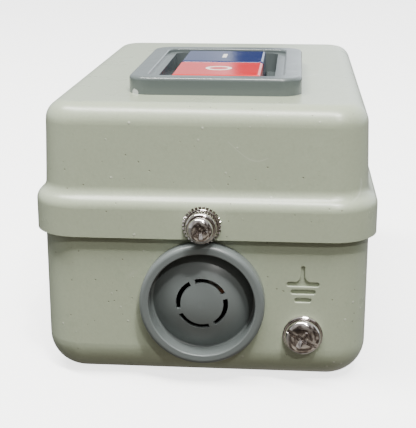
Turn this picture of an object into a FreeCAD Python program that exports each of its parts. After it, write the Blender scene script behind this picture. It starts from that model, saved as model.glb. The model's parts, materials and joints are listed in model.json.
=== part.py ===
import FreeCAD, Part
import Sketcher
import math
import os

# Motor protection breaker: three-pole thermal overload breaker with two push-buttons in a
# pressed-steel box. Millimetres, +Z up, origin on the underside, at the middle of the footprint.
# -Y is the end with the earth screw, +X is to the right when that end is faced.

V = FreeCAD.Vector
doc = FreeCAD.newDocument("MotorBreaker")

# ------------------------------------------------------------------ driving dimensions
sheet = doc.addObject("Spreadsheet::Sheet", "Sizes")
CELLS = [
    # painted steel cover
    ("skirt_width", 86.0), ("skirt_length", 130.0), ("skirt_corner", 11.7), ("skirt_bottom", 38.0),
    ("skirt_top", 45.3), ("shoulder_mid", 47.8), ("shoulder_top", 50.3), ("shoulder_step", 2.5),
    ("cover_draft", 0.5), ("cover_round", 5.0), ("cover_top", 70.5), ("cover_sheet", 1.0),
    # painted steel base
    ("base_width", 82.2), ("base_length", 126.2), ("base_corner", 10.3), ("base_round", 9.0),
    ("base_rim", 46.3), ("base_sheet", 1.2),
    ("entry_radius", 13.8), ("entry_height", 21.6),
    ("cover_screw_height", 41.8), ("notch_radius", 2.5), ("screw_clear", 2.2),
    ("mount_spacing_x", 56.0), ("mount_spacing_y", 92.0), ("mount_hole", 2.6),
    ("earth_offset", 25.1), ("earth_height", 13.2), ("earth_clear", 2.7), ("symbol_depth", 0.6),
    # bezel
    ("bezel_x", 1.5), ("bezel_y", -17.25), ("bezel_width", 44.2), ("bezel_length", 60.5),
    ("bezel_corner", 5.8), ("bezel_rise", 4.5), ("well_y", -17.6), ("step_width", 34.6),
    ("step_length", 51.6), ("step_depth", 1.0), ("well_width", 30.2), ("well_length", 49.2),
    ("well_depth", 6.5), ("neck_width", 34.2), ("neck_length", 53.2), ("neck_bottom", 66.5),
    ("retainer_thick", 1.5), ("bezel_screw_radius", 1.25),
    # buttons
    ("cap_width", 23.0), ("off_front", -41.6), ("off_back", -17.8), ("on_front", -16.0), ("on_back", 6.2),
    ("off_top", 74.8), ("on_top", 74.7), ("cap_bottom", 64.0), ("foot_bottom", 62.0),
    ("stem_radius", 4.0), ("cap_gap", 0.4),
    # mechanism
    ("mech_x", 1.5), ("pole_pitch", 14.0), ("mech_half", 22.5), ("mech_front", -54.0), ("mech_back", 46.0),
    ("bracket_top", 3.2), ("block_top", 20.0), ("strip_thick", 1.2), ("strip_half", 3.5), ("tip_thick", 1.0),
    ("housing_front", -45.0), ("housing_back", 33.0), ("housing_top", 55.0), ("housing_wall", 1.5),
    ("guide_top", 66.0), ("shelf_bottom", 42.0), ("shelf_thick", 1.5),
    ("carrier_front", -9.4), ("carrier_back", -0.4), ("carrier_bottom", 24.5), ("carrier_top", 40.0),
    ("bridge_bottom", 27.0), ("bridge_thick", 1.0), ("bridge_front", -16.9), ("bridge_back", 7.1),
    ("slide_bottom", 44.0), ("slide_thick", 2.0), ("bimetal_front", 20.2), ("bimetal_thick", 0.9),
    ("dial_radius", 8.0), ("dial_y", 20.0),
]
for row, (alias, value) in enumerate(CELLS, 1):
    sheet.set("A%d" % row, alias)
    sheet.set("B%d" % row, repr(value))
    sheet.setAlias("B%d" % row, alias)
doc.recompute()


def size(alias):
    return float(sheet.get(alias))


def num(expr):
    got = sheet.evalExpression(str(expr).replace("S.", "Sizes."))
    return float(getattr(got, "Value", got))


def bind(obj, prop, expr):
    obj.setExpression(prop, str(expr).replace("S.", "Sizes."))


# ------------------------------------------------------------------ Part primitives
def box(name, x, y, z):
    obj = doc.addObject("Part::Box", name)
    for prop, axis, (low, high) in (("Length", "x", x), ("Width", "y", y), ("Height", "z", z)):
        bind(obj, prop, "(%s)-(%s)" % (high, low))
        bind(obj, "Placement.Base." + axis, low)
    return obj


TURN = {"z": FreeCAD.Rotation(), "y": FreeCAD.Rotation(V(1, 0, 0), -90),
        "-y": FreeCAD.Rotation(V(1, 0, 0), 90), "x": FreeCAD.Rotation(V(0, 1, 0), 90)}


def put(obj, at, axis="z"):
    obj.Placement = FreeCAD.Placement(V(*[num(c) for c in at]), TURN[axis])
    for name, expr in zip("xyz", at):
        bind(obj, "Placement.Base." + name, expr)
    return obj


def cyl(name, at, radius, height, axis="z"):
    obj = doc.addObject("Part::Cylinder", name)
    bind(obj, "Radius", radius)
    bind(obj, "Height", height)
    return put(obj, at, axis)


def hexagon(name, at, flats, height, axis="z"):
    obj = doc.addObject("Part::Prism", name)
    obj.Polygon = 6
    bind(obj, "Circumradius", "(%s)/sqrt(3)" % flats)
    bind(obj, "Height", height)
    return put(obj, at, axis)


def fuse(name, shapes):
    if len(shapes) == 1:
        return shapes[0]
    obj = doc.addObject("Part::MultiFuse", name)
    obj.Shapes = shapes
    return obj


def cut(name, base, tools):
    obj = doc.addObject("Part::Cut", name)
    obj.Base = base
    obj.Tool = fuse(name + "_tools", tools)
    return obj


def both_ends(name, obj):
    other = doc.addObject("Part::Mirroring", name + "_back")
    other.Source = obj
    other.Base = V(0, 0, 0)
    other.Normal = V(0, 1, 0)
    pair = doc.addObject("Part::Compound", name)
    pair.Links = [obj, other]
    return pair


# ------------------------------------------------------------------ PartDesign
def plane(body, role):
    return [o for o in body.Origin.OriginFeatures if o.Role == role][0]


def new_sketch(body, name, role="XY_Plane", x="0", y="0", z="0"):
    sk = body.newObject("Sketcher::SketchObject", name)
    sk.AttachmentSupport = [(plane(body, role), "")]
    sk.MapMode = "FlatFace"
    sk.AttachmentOffset = FreeCAD.Placement(V(num(x), num(y), num(z)), FreeCAD.Rotation())
    for axis, expr in (("x", x), ("y", y), ("z", z)):
        bind(sk, "AttachmentOffset.Base." + axis, expr)
    return sk


def rounded(sk, width, length, corner):
    a, b, r = num(width) / 2, num(length) / 2, num(corner)
    q = math.pi / 2
    zn = V(0, 0, 1)
    sk.addGeometry([
        Part.LineSegment(V(a, -b + r, 0), V(a, b - r, 0)),
        Part.ArcOfCircle(Part.Circle(V(a - r, b - r, 0), zn, r), 0, q),
        Part.LineSegment(V(a - r, b, 0), V(-a + r, b, 0)),
        Part.ArcOfCircle(Part.Circle(V(-a + r, b - r, 0), zn, r), q, 2 * q),
        Part.LineSegment(V(-a, b - r, 0), V(-a, -b + r, 0)),
        Part.ArcOfCircle(Part.Circle(V(-a + r, -b + r, 0), zn, r), 2 * q, 3 * q),
        Part.LineSegment(V(-a + r, -b, 0), V(a - r, -b, 0)),
        Part.ArcOfCircle(Part.Circle(V(a - r, -b + r, 0), zn, r), 3 * q, 4 * q)], False)
    C = Sketcher.Constraint
    sk.addConstraint([C("Tangent", i, 2, (i + 1) % 8, 1) for i in range(8)])
    sk.addConstraint([C("Vertical", 0), C("Horizontal", 2), C("Vertical", 4), C("Horizontal", 6)])
    sk.addConstraint([C("Equal", 1, 3), C("Equal", 1, 5), C("Equal", 1, 7)])
    for name, con, expr in (
            ("corner", C("Radius", 1, r), corner),
            ("right", C("DistanceX", -1, 1, 0, 1, a), "(%s)/2" % width),
            ("left", C("DistanceX", 4, 1, -1, 1, a), "(%s)/2" % width),
            ("back", C("DistanceY", -1, 1, 2, 1, b), "(%s)/2" % length),
            ("front", C("DistanceY", 6, 1, -1, 1, b), "(%s)/2" % length)):
        i = sk.addConstraint(con)
        sk.renameConstraint(i, name)
        bind(sk, "Constraints." + name, expr)
    return sk


def outline(sk, points):
    """Closed loop; a point may carry the middle point of the arc that reaches it."""
    geo = []
    prev = points[-1]
    for p in points:
        a, b = V(prev[0], prev[1], 0), V(p[0], p[1], 0)
        if len(p) == 4:
            geo.append(Part.Arc(a, V(p[2], p[3], 0), b))
        else:
            geo.append(Part.LineSegment(a, b))
        prev = p
    sk.addGeometry(geo, False)
    return sk


def pad(body, name, sk, length):
    f = body.newObject("PartDesign::Pad", name)
    f.Profile = sk
    bind(f, "Length", length)
    return f


def pocket(body, name, sk, depth):
    f = body.newObject("PartDesign::Pocket", name)
    f.Profile = sk
    bind(f, "Length", depth)
    return f


def edges(feature, test):
    return ["Edge%d" % (i + 1) for i, e in enumerate(feature.Shape.Edges) if test(e)]


def fillet(body, name, feature, test, radius):
    doc.recompute()
    f = body.newObject("PartDesign::Fillet", name)
    f.Base = (feature, edges(feature, test))
    f.Radius = radius
    return f


def flat_at(z, tol=0.01):
    return lambda e: abs(e.BoundBox.ZMin - z) < tol and abs(e.BoundBox.ZMax - z) < tol


def turned(name, points, at=("0", "0", "0"), axis="z"):
    body = doc.addObject("PartDesign::Body", name)
    sk = outline(new_sketch(body, name + "_section", "XZ_Plane"), points)
    rev = body.newObject("PartDesign::Revolution", name + "_turn")
    rev.Profile = sk
    rev.ReferenceAxis = (sk, ["V_Axis"])
    rev.Angle = 360.0
    doc.recompute()
    return put(body, at, axis)


def ring_path(body, name, width, length, corner):
    """Rounded rectangle that starts in the middle of its right side."""
    a, b, r = num(width) / 2, num(length) / 2, num(corner)
    q = math.pi / 2
    zn = V(0, 0, 1)
    sk = new_sketch(body, name)
    sk.addGeometry([
        Part.LineSegment(V(a, 0, 0), V(a, b - r, 0)),
        Part.ArcOfCircle(Part.Circle(V(a - r, b - r, 0), zn, r), 0, q),
        Part.LineSegment(V(a - r, b, 0), V(-a + r, b, 0)),
        Part.ArcOfCircle(Part.Circle(V(-a + r, b - r, 0), zn, r), q, 2 * q),
        Part.LineSegment(V(-a, b - r, 0), V(-a, -b + r, 0)),
        Part.ArcOfCircle(Part.Circle(V(-a + r, -b + r, 0), zn, r), 2 * q, 3 * q),
        Part.LineSegment(V(-a + r, -b, 0), V(a - r, -b, 0)),
        Part.ArcOfCircle(Part.Circle(V(a - r, -b + r, 0), zn, r), 3 * q, 4 * q),
        Part.LineSegment(V(a, -b + r, 0), V(a, 0, 0))], False)
    return sk


def shell(body, name, width, length, corner, section):
    """Sheet-metal wall swept round the box; section is (inset, height[, arc middle])."""
    path = ring_path(body, name + "_path", width, length, corner)
    sk = new_sketch(body, name + "_section", "XZ_Plane")
    a = num(width) / 2
    outline(sk, [(a - p[0], p[1]) if len(p) == 2 else (a - p[0], p[1], a - p[2], p[3]) for p in section])
    pipe = body.newObject("PartDesign::AdditivePipe", name)
    pipe.Profile = (sk, [""])
    pipe.Spine = (path, ["Edge%d" % i for i in range(1, 10)])
    doc.recompute()
    return pipe


def arc_mid(cx, cy, radius, degrees):
    return cx + radius * math.cos(math.radians(degrees)), cy + radius * math.sin(math.radians(degrees))


NODES = {}


def node(label, obj):
    obj.Label = label
    NODES[label] = obj
    return obj


# ================================================================== painted steel box
# ---- base: one pressed sheet, generous radius round the floor
bw, rnd, sh, rim = size("base_width"), size("base_round"), size("base_sheet"), size("base_rim")
k = rnd * (1 - math.sqrt(0.5))
ki = rnd - (rnd - sh) * math.sqrt(0.5)
body = doc.addObject("PartDesign::Body", "base_pressing")
shell(body, "base_wall", "S.base_width", "S.base_length", "S.base_corner", [
    (0, rim), (0, rnd), (rnd, 0, k, k), (rnd, sh), (sh, rnd, ki, ki), (sh, rim)])
sk = rounded(new_sketch(body, "floor_outline"), "S.base_width-2*S.base_round",
             "S.base_length-2*S.base_round", "S.base_corner-S.base_round")
pad(body, "floor", sk, "S.base_sheet")
doc.recompute()
tools = []
for sx in (-1, 1):
    for sy in (-1, 1):
        tools.append(cyl("mount_hole", ("%d*S.mount_spacing_x/2" % sx, "%d*S.mount_spacing_y/2" % sy, "-1"),
                         "S.mount_hole", "S.base_sheet+2"))
for sy in (-1, 1):
    tools.append(cyl("entry", ("0", "%d*S.base_length/2-6" % sy, "S.entry_height"), "S.entry_radius", "12", "y"))
    tools.append(cyl("cover_screw_hole", ("0", "%d*S.base_length/2-6" % sy, "S.cover_screw_height"),
                     "S.screw_clear", "12", "y"))
tools.append(cyl("earth_hole", ("S.earth_offset", "-S.base_length/2-6", "S.earth_height"), "S.earth_clear", "12", "y"))
# debossed protective-earth sign: a stem and three bars with round ends
front = "-S.base_length/2"


def sign_bar(name, x0, x1, z, r):
    return [box("sign_" + name, (x0 + r, x1 - r), (front + "-1", front + "+S.symbol_depth"), (z - r, z + r)),
            cyl("sign_" + name, (str(x0 + r), front + "+S.symbol_depth", str(z)), str(r), "S.symbol_depth+1", "-y"),
            cyl("sign_" + name, (str(x1 - r), front + "+S.symbol_depth", str(z)), str(r), "S.symbol_depth+1", "-y")]


tools += sign_bar("long", 20.9, 28.85, 26.45, 0.5) + sign_bar("mid", 21.9, 27.9, 24.44, 0.5)
tools += sign_bar("short", 22.9, 26.9, 22.3, 0.5)
tools.append(box("sign_stem", (24.38, 25.22), (front + "-1", front + "+S.symbol_depth"), (26.5, 30.7)))
tools.append(cyl("sign_stem", ("24.8", front + "+S.symbol_depth", "30.7"), "0.42", "S.symbol_depth+1", "-y"))
root_body = doc.addObject("PartDesign::Body", "sign_root")
rsk = outline(new_sketch(root_body, "sign_root_outline", "XZ_Plane", z="S.base_length/2-S.symbol_depth"),
              [(24.38, 28.7), (21.9, 26.8, 23.75, 27.3), (27.7, 26.8), (25.22, 28.7, 25.85, 27.3)])
pad(root_body, "sign_root_pad", rsk, "S.symbol_depth+1")
doc.recompute()
tools.append(root_body)
sharp = cut("base_cut", body, tools)
doc.recompute()
wall_y = -size("base_length") / 2


def on_sign(e):
    b = e.BoundBox
    return (abs(b.YMin - wall_y) < 0.02 and abs(b.YMax - wall_y) < 0.02 and b.XMin > 20.5 and b.XMax < 29.3
            and b.ZMin > 21.3 and b.ZMax < 31.5)


soft = doc.addObject("Part::Fillet", "base_soft")
soft.Base = sharp
soft.Edges = [(i + 1, 0.3, 0.3) for i, e in enumerate(sharp.Shape.Edges) if on_sign(e)]
node("base_box", soft)

# ---- cover: skirt, rolled shoulder, drafted sides, rounded top edge
st, sm, su, stp = size("skirt_top"), size("shoulder_mid"), size("shoulder_top"), size("shoulder_step")
sh, top, cr, dr = size("cover_sheet"), size("cover_top"), size("cover_round"), size("cover_draft")
h = su - st
rs = (stp * stp / 4 + h * h / 4) / stp          # radius of each half of the S
half = math.degrees(math.asin((h / 2) / rs)) / 2
u_lo, u_hi = rs, stp - rs                        # arc centres, as insets
tb = stp + dr                                    # inset of the body at its top
zc = top - cr


def s_pt(centre_u, centre_z, radius, degrees):
    return centre_u + radius * math.cos(math.radians(degrees)), centre_z + radius * math.sin(math.radians(degrees))


m1 = s_pt(u_lo, st, rs, 180 - half)
m2 = s_pt(u_hi, su, rs, -half)
m1i = s_pt(u_lo, st, rs - sh, 180 - half)
m2i = s_pt(u_hi, su, rs + sh, -half)
p_mid = s_pt(u_lo, st, rs, 180 - 2 * half)
p_midi = s_pt(u_lo, st, rs - sh, 180 - 2 * half)
body = doc.addObject("PartDesign::Body", "cover_pressing")
shell(body, "cover_wall", "S.skirt_width", "S.skirt_length", "S.skirt_corner", [
    (0, size("skirt_bottom")), (0, st), (p_mid[0], p_mid[1], m1[0], m1[1]), (stp, su, m2[0], m2[1]),
    (tb, zc), (tb + cr, top) + s_pt(tb + cr, zc, cr, 135), (tb + cr + 1, top), (tb + cr + 1, top - sh),
    (tb + cr, top - sh), (tb + sh, zc) + s_pt(tb + cr, zc, cr - sh, 135), (stp + sh, su),
    (p_midi[0], p_midi[1], m2i[0], m2i[1]), (sh, st, m1i[0], m1i[1]), (sh, size("skirt_bottom"))])
inset = "2*(S.shoulder_step+S.cover_draft+S.cover_round+1)"
sk = rounded(new_sketch(body, "top_outline", z="S.cover_top-S.cover_sheet"), "S.skirt_width-" + inset,
             "S.skirt_length-" + inset, "S.skirt_corner-" + inset + "/2")
pad(body, "top_panel", sk, "S.cover_sheet")
doc.recompute()
hole = doc.addObject("PartDesign::Body", "cover_window")
pad(hole, "window", rounded(new_sketch(hole, "window_outline", x="S.bezel_x", y="S.well_y", z="S.cover_top-3"),
                            "S.neck_width+0.4", "S.neck_length+0.4", "4.2"), "6")
tools = [hole]
for sy in (-1, 1):
    y0 = "%d*S.skirt_length/2-3" % sy
    tools.append(cyl("notch_top", ("0", y0, "S.cover_screw_height"), "S.notch_radius", "6", "y"))
    tools.append(box("notch_slot", ("-S.notch_radius", "S.notch_radius"), (y0, y0 + "+6"),
                     ("S.skirt_bottom-1", "S.cover_screw_height")))
BEZEL_SCREWS = [("S.bezel_x+%d*(S.bezel_width/2-2.5)" % sx, "S.bezel_y+%d*(S.bezel_length/2-6)" % sy)
                for sx in (-1, 1) for sy in (-1, 1)]
for x, y in BEZEL_SCREWS:
    tools.append(cyl("bezel_screw_hole", (x, y, "S.cover_top-3"), "S.bezel_screw_radius+0.35", "6"))
node("cover", cut("cover_cut", body, tools))

# ================================================================== bezel and its fixing
body = doc.addObject("PartDesign::Body", "bezel_moulding")
rim_pad = pad(body, "bezel_flange", rounded(
    new_sketch(body, "flange_outline", x="S.bezel_x", y="S.bezel_y", z="S.cover_top"),
    "S.bezel_width", "S.bezel_length", "S.bezel_corner"), "S.bezel_rise")
top_z = size("cover_top") + size("bezel_rise")
fillet(body, "outer_edge", rim_pad, flat_at(top_z), 0.9)
pad(body, "bezel_neck", rounded(
    new_sketch(body, "neck_outline", x="S.bezel_x", y="S.well_y", z="S.neck_bottom"),
    "S.neck_width", "S.neck_length", "4.0"), "S.cover_top-S.neck_bottom+0.5")
step = pocket(body, "bezel_step", rounded(
    new_sketch(body, "step_outline", x="S.bezel_x", y="S.well_y", z="S.cover_top+S.bezel_rise"),
    "S.step_width", "S.step_length", "3.4"), "S.step_depth")


def step_edge(e):
    b = e.BoundBox
    return flat_at(top_z)(e) and b.XMin > -16.2 and b.XMax < 19.2 and b.YMin > -43.8 and b.YMax < 8.6


fillet(body, "step_edge", step, step_edge, 0.45)
pocket(body, "bezel_well", rounded(
    new_sketch(body, "well_outline", x="S.bezel_x", y="S.well_y", z="S.cover_top+S.bezel_rise"),
    "S.well_width", "S.well_length", "3.0"), "S.well_depth")
doc.recompute()
half_cap = "(S.cap_width/2+S.cap_gap)"
gap_x = ("S.bezel_x-" + half_cap, "S.bezel_x+" + half_cap)
tools = [box("off_window", gap_x, ("S.well_y-S.well_length/2", "S.off_back+S.cap_gap"), ("S.neck_bottom-1", "S.cover_top")),
         box("on_window", gap_x, ("S.on_front-S.cap_gap", "S.well_y+S.well_length/2"), ("S.neck_bottom-1", "S.cover_top"))]
for x, y in BEZEL_SCREWS:
    tools.append(cyl("bezel_pilot", (x, y, "S.cover_top-1"), "S.bezel_screw_radius", "3.6"))
node("button_bezel", cut("bezel_cut", body, tools))

body = doc.addObject("PartDesign::Body", "retainer_plate")
pad(body, "retainer_pad", rounded(
    new_sketch(body, "retainer_outline", x="S.bezel_x", y="S.bezel_y", z="S.cover_top-S.cover_sheet-S.retainer_thick"),
    "S.bezel_width-0.6", "S.bezel_length-0.6", "4.0"), "S.retainer_thick")
hole = doc.addObject("PartDesign::Body", "retainer_window")
pad(hole, "retainer_window_pad", rounded(
    new_sketch(hole, "retainer_window_outline", x="S.bezel_x", y="S.well_y", z="S.cover_top-5"),
    "S.neck_width+0.2", "S.neck_length+0.2", "4.1"), "6")
tools = [hole]
for x, y in BEZEL_SCREWS:
    tools.append(cyl("retainer_hole", (x, y, "S.cover_top-5"), "S.bezel_screw_radius+0.2", "6"))
node("bezel_retainer", cut("retainer_cut", body, tools))
under = "S.cover_top-S.cover_sheet-S.retainer_thick"
screws = []
for x, y in BEZEL_SCREWS:
    shank = cyl("bezel_screw_shank", (x, y, under), "S.bezel_screw_radius", "S.cover_sheet+S.retainer_thick+2.4")
    head = cyl("bezel_screw_head", (x, y, under + "-1.6"), "2.4", "1.6")
    s1 = box("bezel_recess", (x + "-1.4", x + "+1.4"), (y + "-0.35", y + "+0.35"), (under + "-1.7", under + "-0.7"))
    s2 = box("bezel_recess", (x + "-0.35", x + "+0.35"), (y + "-1.4", y + "+1.4"), (under + "-1.7", under + "-0.7"))
    screws.append(cut("bezel_screw", fuse("bezel_screw_body", [shank, head]), [s1, s2]))
node("bezel_screws", fuse("bezel_screw_set", screws))

# ================================================================== push-buttons
def button(label, front_y, back_y, top, foot_front, foot_back, stem_bottom, recess, extra):
    body = doc.addObject("PartDesign::Body", label + "_cap")
    mid = "((%s)+(%s))/2" % (front_y, back_y)
    f = pad(body, label + "_cap_pad", rounded(
        new_sketch(body, label + "_cap_outline", x="S.bezel_x", y=mid, z="S.cap_bottom"),
        "S.cap_width", "(%s)-(%s)" % (back_y, front_y), "1.2"), "(%s)-S.cap_bottom" % top)
    fillet(body, label + "_cap_edge", f, flat_at(num(top)), 0.8)
    doc.recompute()
    foot = box(label + "_foot", ("S.bezel_x-S.cap_width/2-1.7", "S.bezel_x+S.cap_width/2+1.7"),
               (foot_front, foot_back), ("S.foot_bottom", "S.cap_bottom"))
    stem = cyl(label + "_stem", ("S.bezel_x", mid, stem_bottom), "S.stem_radius", "S.foot_bottom-(%s)" % stem_bottom)
    whole = fuse(label + "_whole", [body, foot, stem] + extra)
    return node(label, cut(label + "_cut", whole, recess))


off_mid, on_mid = "(S.off_front+S.off_back)/2", "(S.on_front+S.on_back)/2"
# wedge under the OFF stem: 0.7 mm sideways for each millimetre down
wedge_body = doc.addObject("PartDesign::Body", "off_wedge")
wsk = outline(new_sketch(wedge_body, "wedge_section", "YZ_Plane", z="S.bezel_x-2.5"),
              [(-33.1, 51.0), (-33.1, 48.0), (-29.95, 43.5), (-28.2, 43.5), (-28.2, 51.0)])
pad(wedge_body, "wedge_pad", wsk, "5")
doc.recompute()
ring_o = cyl("off_mark_outer", ("S.bezel_x", off_mid, "S.off_top-0.35"), "3.5", "0.6")
ring_i = cyl("off_mark_inner", ("S.bezel_x", off_mid, "S.off_top-1"), "2.5", "2")
button("off_button", "S.off_front", "S.off_back", "S.off_top", "S.off_front-1.4", "S.off_back", "49.8",
       [cut("off_mark_recess", ring_o, [ring_i])], [wedge_body])
button("on_button", "S.on_front", "S.on_back", "S.on_top", "S.on_front", "S.on_back+1.4", "S.carrier_top+0.3",
       [box("on_mark_recess", ("S.bezel_x-0.6", "S.bezel_x+0.6"), (on_mid + "-3.5", on_mid + "+3.5"),
            ("S.on_top-0.35", "S.on_top+1"))], [])
node("off_symbol", cut("off_symbol_ring",
                       cyl("off_symbol_outer", ("S.bezel_x", off_mid, "S.off_top-0.35"), "3.5", "0.4"),
                       [cyl("off_symbol_inner", ("S.bezel_x", off_mid, "S.off_top-1"), "2.5", "2")]))
node("on_symbol", box("on_symbol_bar", ("S.bezel_x-0.6", "S.bezel_x+0.6"), (on_mid + "-3.5", on_mid + "+3.5"),
                      ("S.on_top-0.35", "S.on_top+0.05")))

# ================================================================== cable grommets
def rad(r0, h0, r1, h1, centre_r, centre_h, radius, degrees):
    return (r1, h1) + arc_mid(centre_r, centre_h, radius, degrees)


grommet = turned("grommet_turned", [
    (13.8, 0.0), (15.6, 0.0), (15.6, 2.9), (14.5, 4.0) + arc_mid(14.5, 2.9, 1.1, 45), (13.55, 4.0),
    (13.2, 3.65) + arc_mid(13.55, 3.65, 0.35, 135), (13.2, -0.4), (12.6, -1.0) + arc_mid(12.6, -0.4, 0.6, -45),
    (1.0, 3.375, 6.5, 2.325), (0.0, 3.375), (0.0, 2.175), (1.0, 2.175), (12.2, -2.23, 6.5, 1.05), (12.8, -3.5),
    (14.3, -3.5), (14.9, -2.8), (14.9, -1.7), (13.8, -1.35)], ("0", "-S.base_length/2", "S.entry_height"), "-y")
slots = []
for start, stop in ((26.5, 106.5), (119.5, 194.5), (207.5, 287.5), (300.5, 373.5)):
    outer = doc.addObject("Part::Cylinder", "slot_outer")
    outer.Radius, outer.Height, outer.Angle = 6.5, 12.0, stop - start
    outer.Placement = FreeCAD.Placement(V(0, -size("base_length") / 2 + 5, size("entry_height")),
                                        TURN["-y"].multiply(FreeCAD.Rotation(V(0, 0, 1), start)))
    inner = cyl("slot_inner", ("0", "-S.base_length/2+6", "S.entry_height"), "5.35", "14", "-y")
    slots.append(cut("slot", outer, [inner]))
front_grommet = node("cable_grommet_front", cut("grommet_cut", grommet, slots))
back = doc.addObject("Part::Mirroring", "grommet_mirror")
back.Source = front_grommet
back.Base = V(0, 0, 0)
back.Normal = V(0, 1, 0)
node("cable_grommet_back", back)

# ================================================================== screws of the box
def cross_recess(name, x, z, y_face, depth, length, width):
    y = ("(%s)-1" % y_face, "(%s)+%s" % (y_face, depth))
    hl, hw = length / 2, width / 2
    return [box(name, (x + "-%g" % hl, x + "+%g" % hl), y, (z + "-%g" % hw, z + "+%g" % hw)),
            box(name, (x + "-%g" % hw, x + "+%g" % hw), y, (z + "-%g" % hl, z + "+%g" % hl))]


skirt_y = "-S.skirt_length/2"
csz = "S.cover_screw_height"
body = doc.addObject("PartDesign::Body", "tooth_washer")
disc = pad(body, "washer_disc", outline(new_sketch(body, "washer_outline"), [
    (4.35 * math.cos(math.radians(a)), 4.35 * math.sin(math.radians(a))) for a in range(0, 360, 6)]), "0.7")
tsk = outline(new_sketch(body, "tooth_outline"), [(4.2, -0.32), (4.8, 0.0), (4.2, 0.32)])
tooth = pad(body, "tooth", tsk, "0.7")
doc.recompute()
teeth = body.newObject("PartDesign::PolarPattern", "teeth")
teeth.Originals = [tooth]
teeth.Axis = (tsk, ["N_Axis"])
teeth.Angle = 360.0
teeth.Occurrences = 30
body.Tip = teeth
doc.recompute()
put(body, ("0", skirt_y, csz), "-y")
bore = cyl("washer_bore", ("0", skirt_y + "-2", csz), "2.15", "4", "y")
node("cover_lock_washers", both_ends("lock_washer_pair", cut("washer_cut", body, [bore])))

sleeve = turned("sleeve_turned", [(2.15, 0.0), (3.85, 0.0), (3.85, 2.3), (3.15, 3.0) + arc_mid(3.15, 2.3, 0.7, 45),
                                  (2.15, 3.0)], ("0", skirt_y + "-0.7", csz), "-y")
node("cover_screw_sleeves", both_ends("sleeve_pair", sleeve))

screw = turned("cover_screw_turned", [
    (0.0, -11.5), (1.6, -11.5), (2.0, -11.0), (2.0, 0.0), (3.125, 0.0), (3.125, 0.9),
    (0.0, 2.2, 2.1, 1.85)], ("0", skirt_y + "-3.7", csz), "-y")
node("cover_screws", both_ends("cover_screw_pair", cut("cover_screw_cut", screw,
     cross_recess("cover_recess", "0", csz, skirt_y + "-5.9", 1.5, 3.7, 0.95))))
nut_y = "-S.base_length/2+S.base_sheet"
nut = cut("cover_nut_cut", hexagon("cover_nut_hex", ("0", nut_y, csz), "7.0", "3.2", "y"),
          [cyl("cover_nut_bore", ("0", nut_y + "-1", csz), "2.0", "6", "y")])
node("cover_nuts", both_ends("cover_nut_pair", nut))

ex, ez, ey = "S.earth_offset", "S.earth_height", "-S.base_length/2"
washer = turned("earth_washer_turned", [(2.65, 0.0), (5.0, 0.0), (5.0, 0.6), (4.8, 0.8), (2.65, 0.8)], (ex, ey, ez), "-y")
node("earth_washer", washer)
screw = turned("earth_screw_turned", [
    (0.0, -9.5), (2.0, -9.5), (2.5, -9.0), (2.5, 0.0), (4.45, 0.0), (4.45, 1.3),
    (0.0, 2.75, 2.9, 2.35)], (ex, ey + "-0.8", ez), "-y")
face = ey + "-3.55"
slot = box("earth_slot", ("-5", "5"), ("-1", "1.5"), ("-0.55", "0.55"))
slot_b = box("earth_cross", ("-0.55", "0.55"), ("-1", "2.1"), ("-2.3", "2.3"))
slot_c = box("earth_cross", ("-2.3", "2.3"), ("-1", "2.1"), ("-0.55", "0.55"))
for s in (slot, slot_b, slot_c):
    base = V(s.Placement.Base)
    turn = FreeCAD.Rotation(V(0, 1, 0), 24)
    centre = V(size("earth_offset"), -size("base_length") / 2 - 3.55, size("earth_height"))
    corner = V(*[num(str(c)) for c in ({"earth_slot": (-5, -1, -0.55)}.get(s.Label.rstrip("0123456789"), None) or
                 ((-0.55, -1, -2.3) if s is slot_b else (-2.3, -1, -0.55)))])
    for axis in "xyz":
        s.setExpression("Placement.Base." + axis, None)
    s.Placement = FreeCAD.Placement(centre + turn.multVec(corner), turn)
node("earth_screw", cut("earth_screw_cut", screw, [slot, slot_b, slot_c]))
nut_at = ey + "+S.base_sheet"
node("earth_nut", cut("earth_nut_cut", hexagon("earth_nut_hex", (ex, nut_at, ez), "8.0", "4.0", "y"),
                      [cyl("earth_nut_bore", (ex, nut_at + "-1", ez), "2.5", "7", "y")]))

# ================================================================== mechanism, fixed parts
mx0, mx1 = "S.mech_x-S.mech_half", "S.mech_x+S.mech_half"
EARS = [("S.mech_x+%d*(S.mech_half+3.6)" % sx, "%d*20" % sy) for sx in (-1, 1) for sy in (-1, 1)]
plate = box("bracket_plate", (mx0 + "-6.8", mx1 + "+6.8"), (-38, 38), ("S.base_sheet", "S.bracket_top"))
holes = [cyl("bracket_hole", (x, y, "0"), "2.0", "6") for x, y in EARS]
holes.append(box("bracket_window", (-12, 15), (-14, 14), (0, 6)))
node("mounting_bracket", cut("bracket_cut", plate, holes))

block = box("block", (mx0, mx1), ("S.mech_front", "S.mech_back"), ("S.bracket_top", "S.block_top"))
adds = [block]
for i, (x, y) in enumerate(EARS):
    inner = mx0 if i < 2 else mx1
    pair = (x + "-3", inner) if i < 2 else (inner, x + "+3")
    adds.append(box("ear", pair, (y + "-5", y + "+5"), ("S.bracket_top", 8)))
for y in (("S.mech_front", "S.housing_front"), ("S.housing_back", "S.mech_back")):
    for x in (mx0, "S.mech_x-S.pole_pitch/2-0.9", "S.mech_x+S.pole_pitch/2-0.9", mx1 + "-1.8"):
        adds.append(box("barrier", (x, x + "+1.8"), y, ("S.block_top", 31)))
tools = [cyl("ear_hole", (x, y, "1"), "2.1", "10") for x, y in EARS]
SPRINGS = [("S.mech_x-S.pole_pitch/2", on_mid), ("S.mech_x+S.pole_pitch/2", on_mid)]
for x, y in SPRINGS:
    tools.append(cyl("spring_pocket", (x, y, "10"), "2.7", "12"))
POLES = ["S.mech_x-S.pole_pitch", "S.mech_x", "S.mech_x+S.pole_pitch"]
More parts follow.
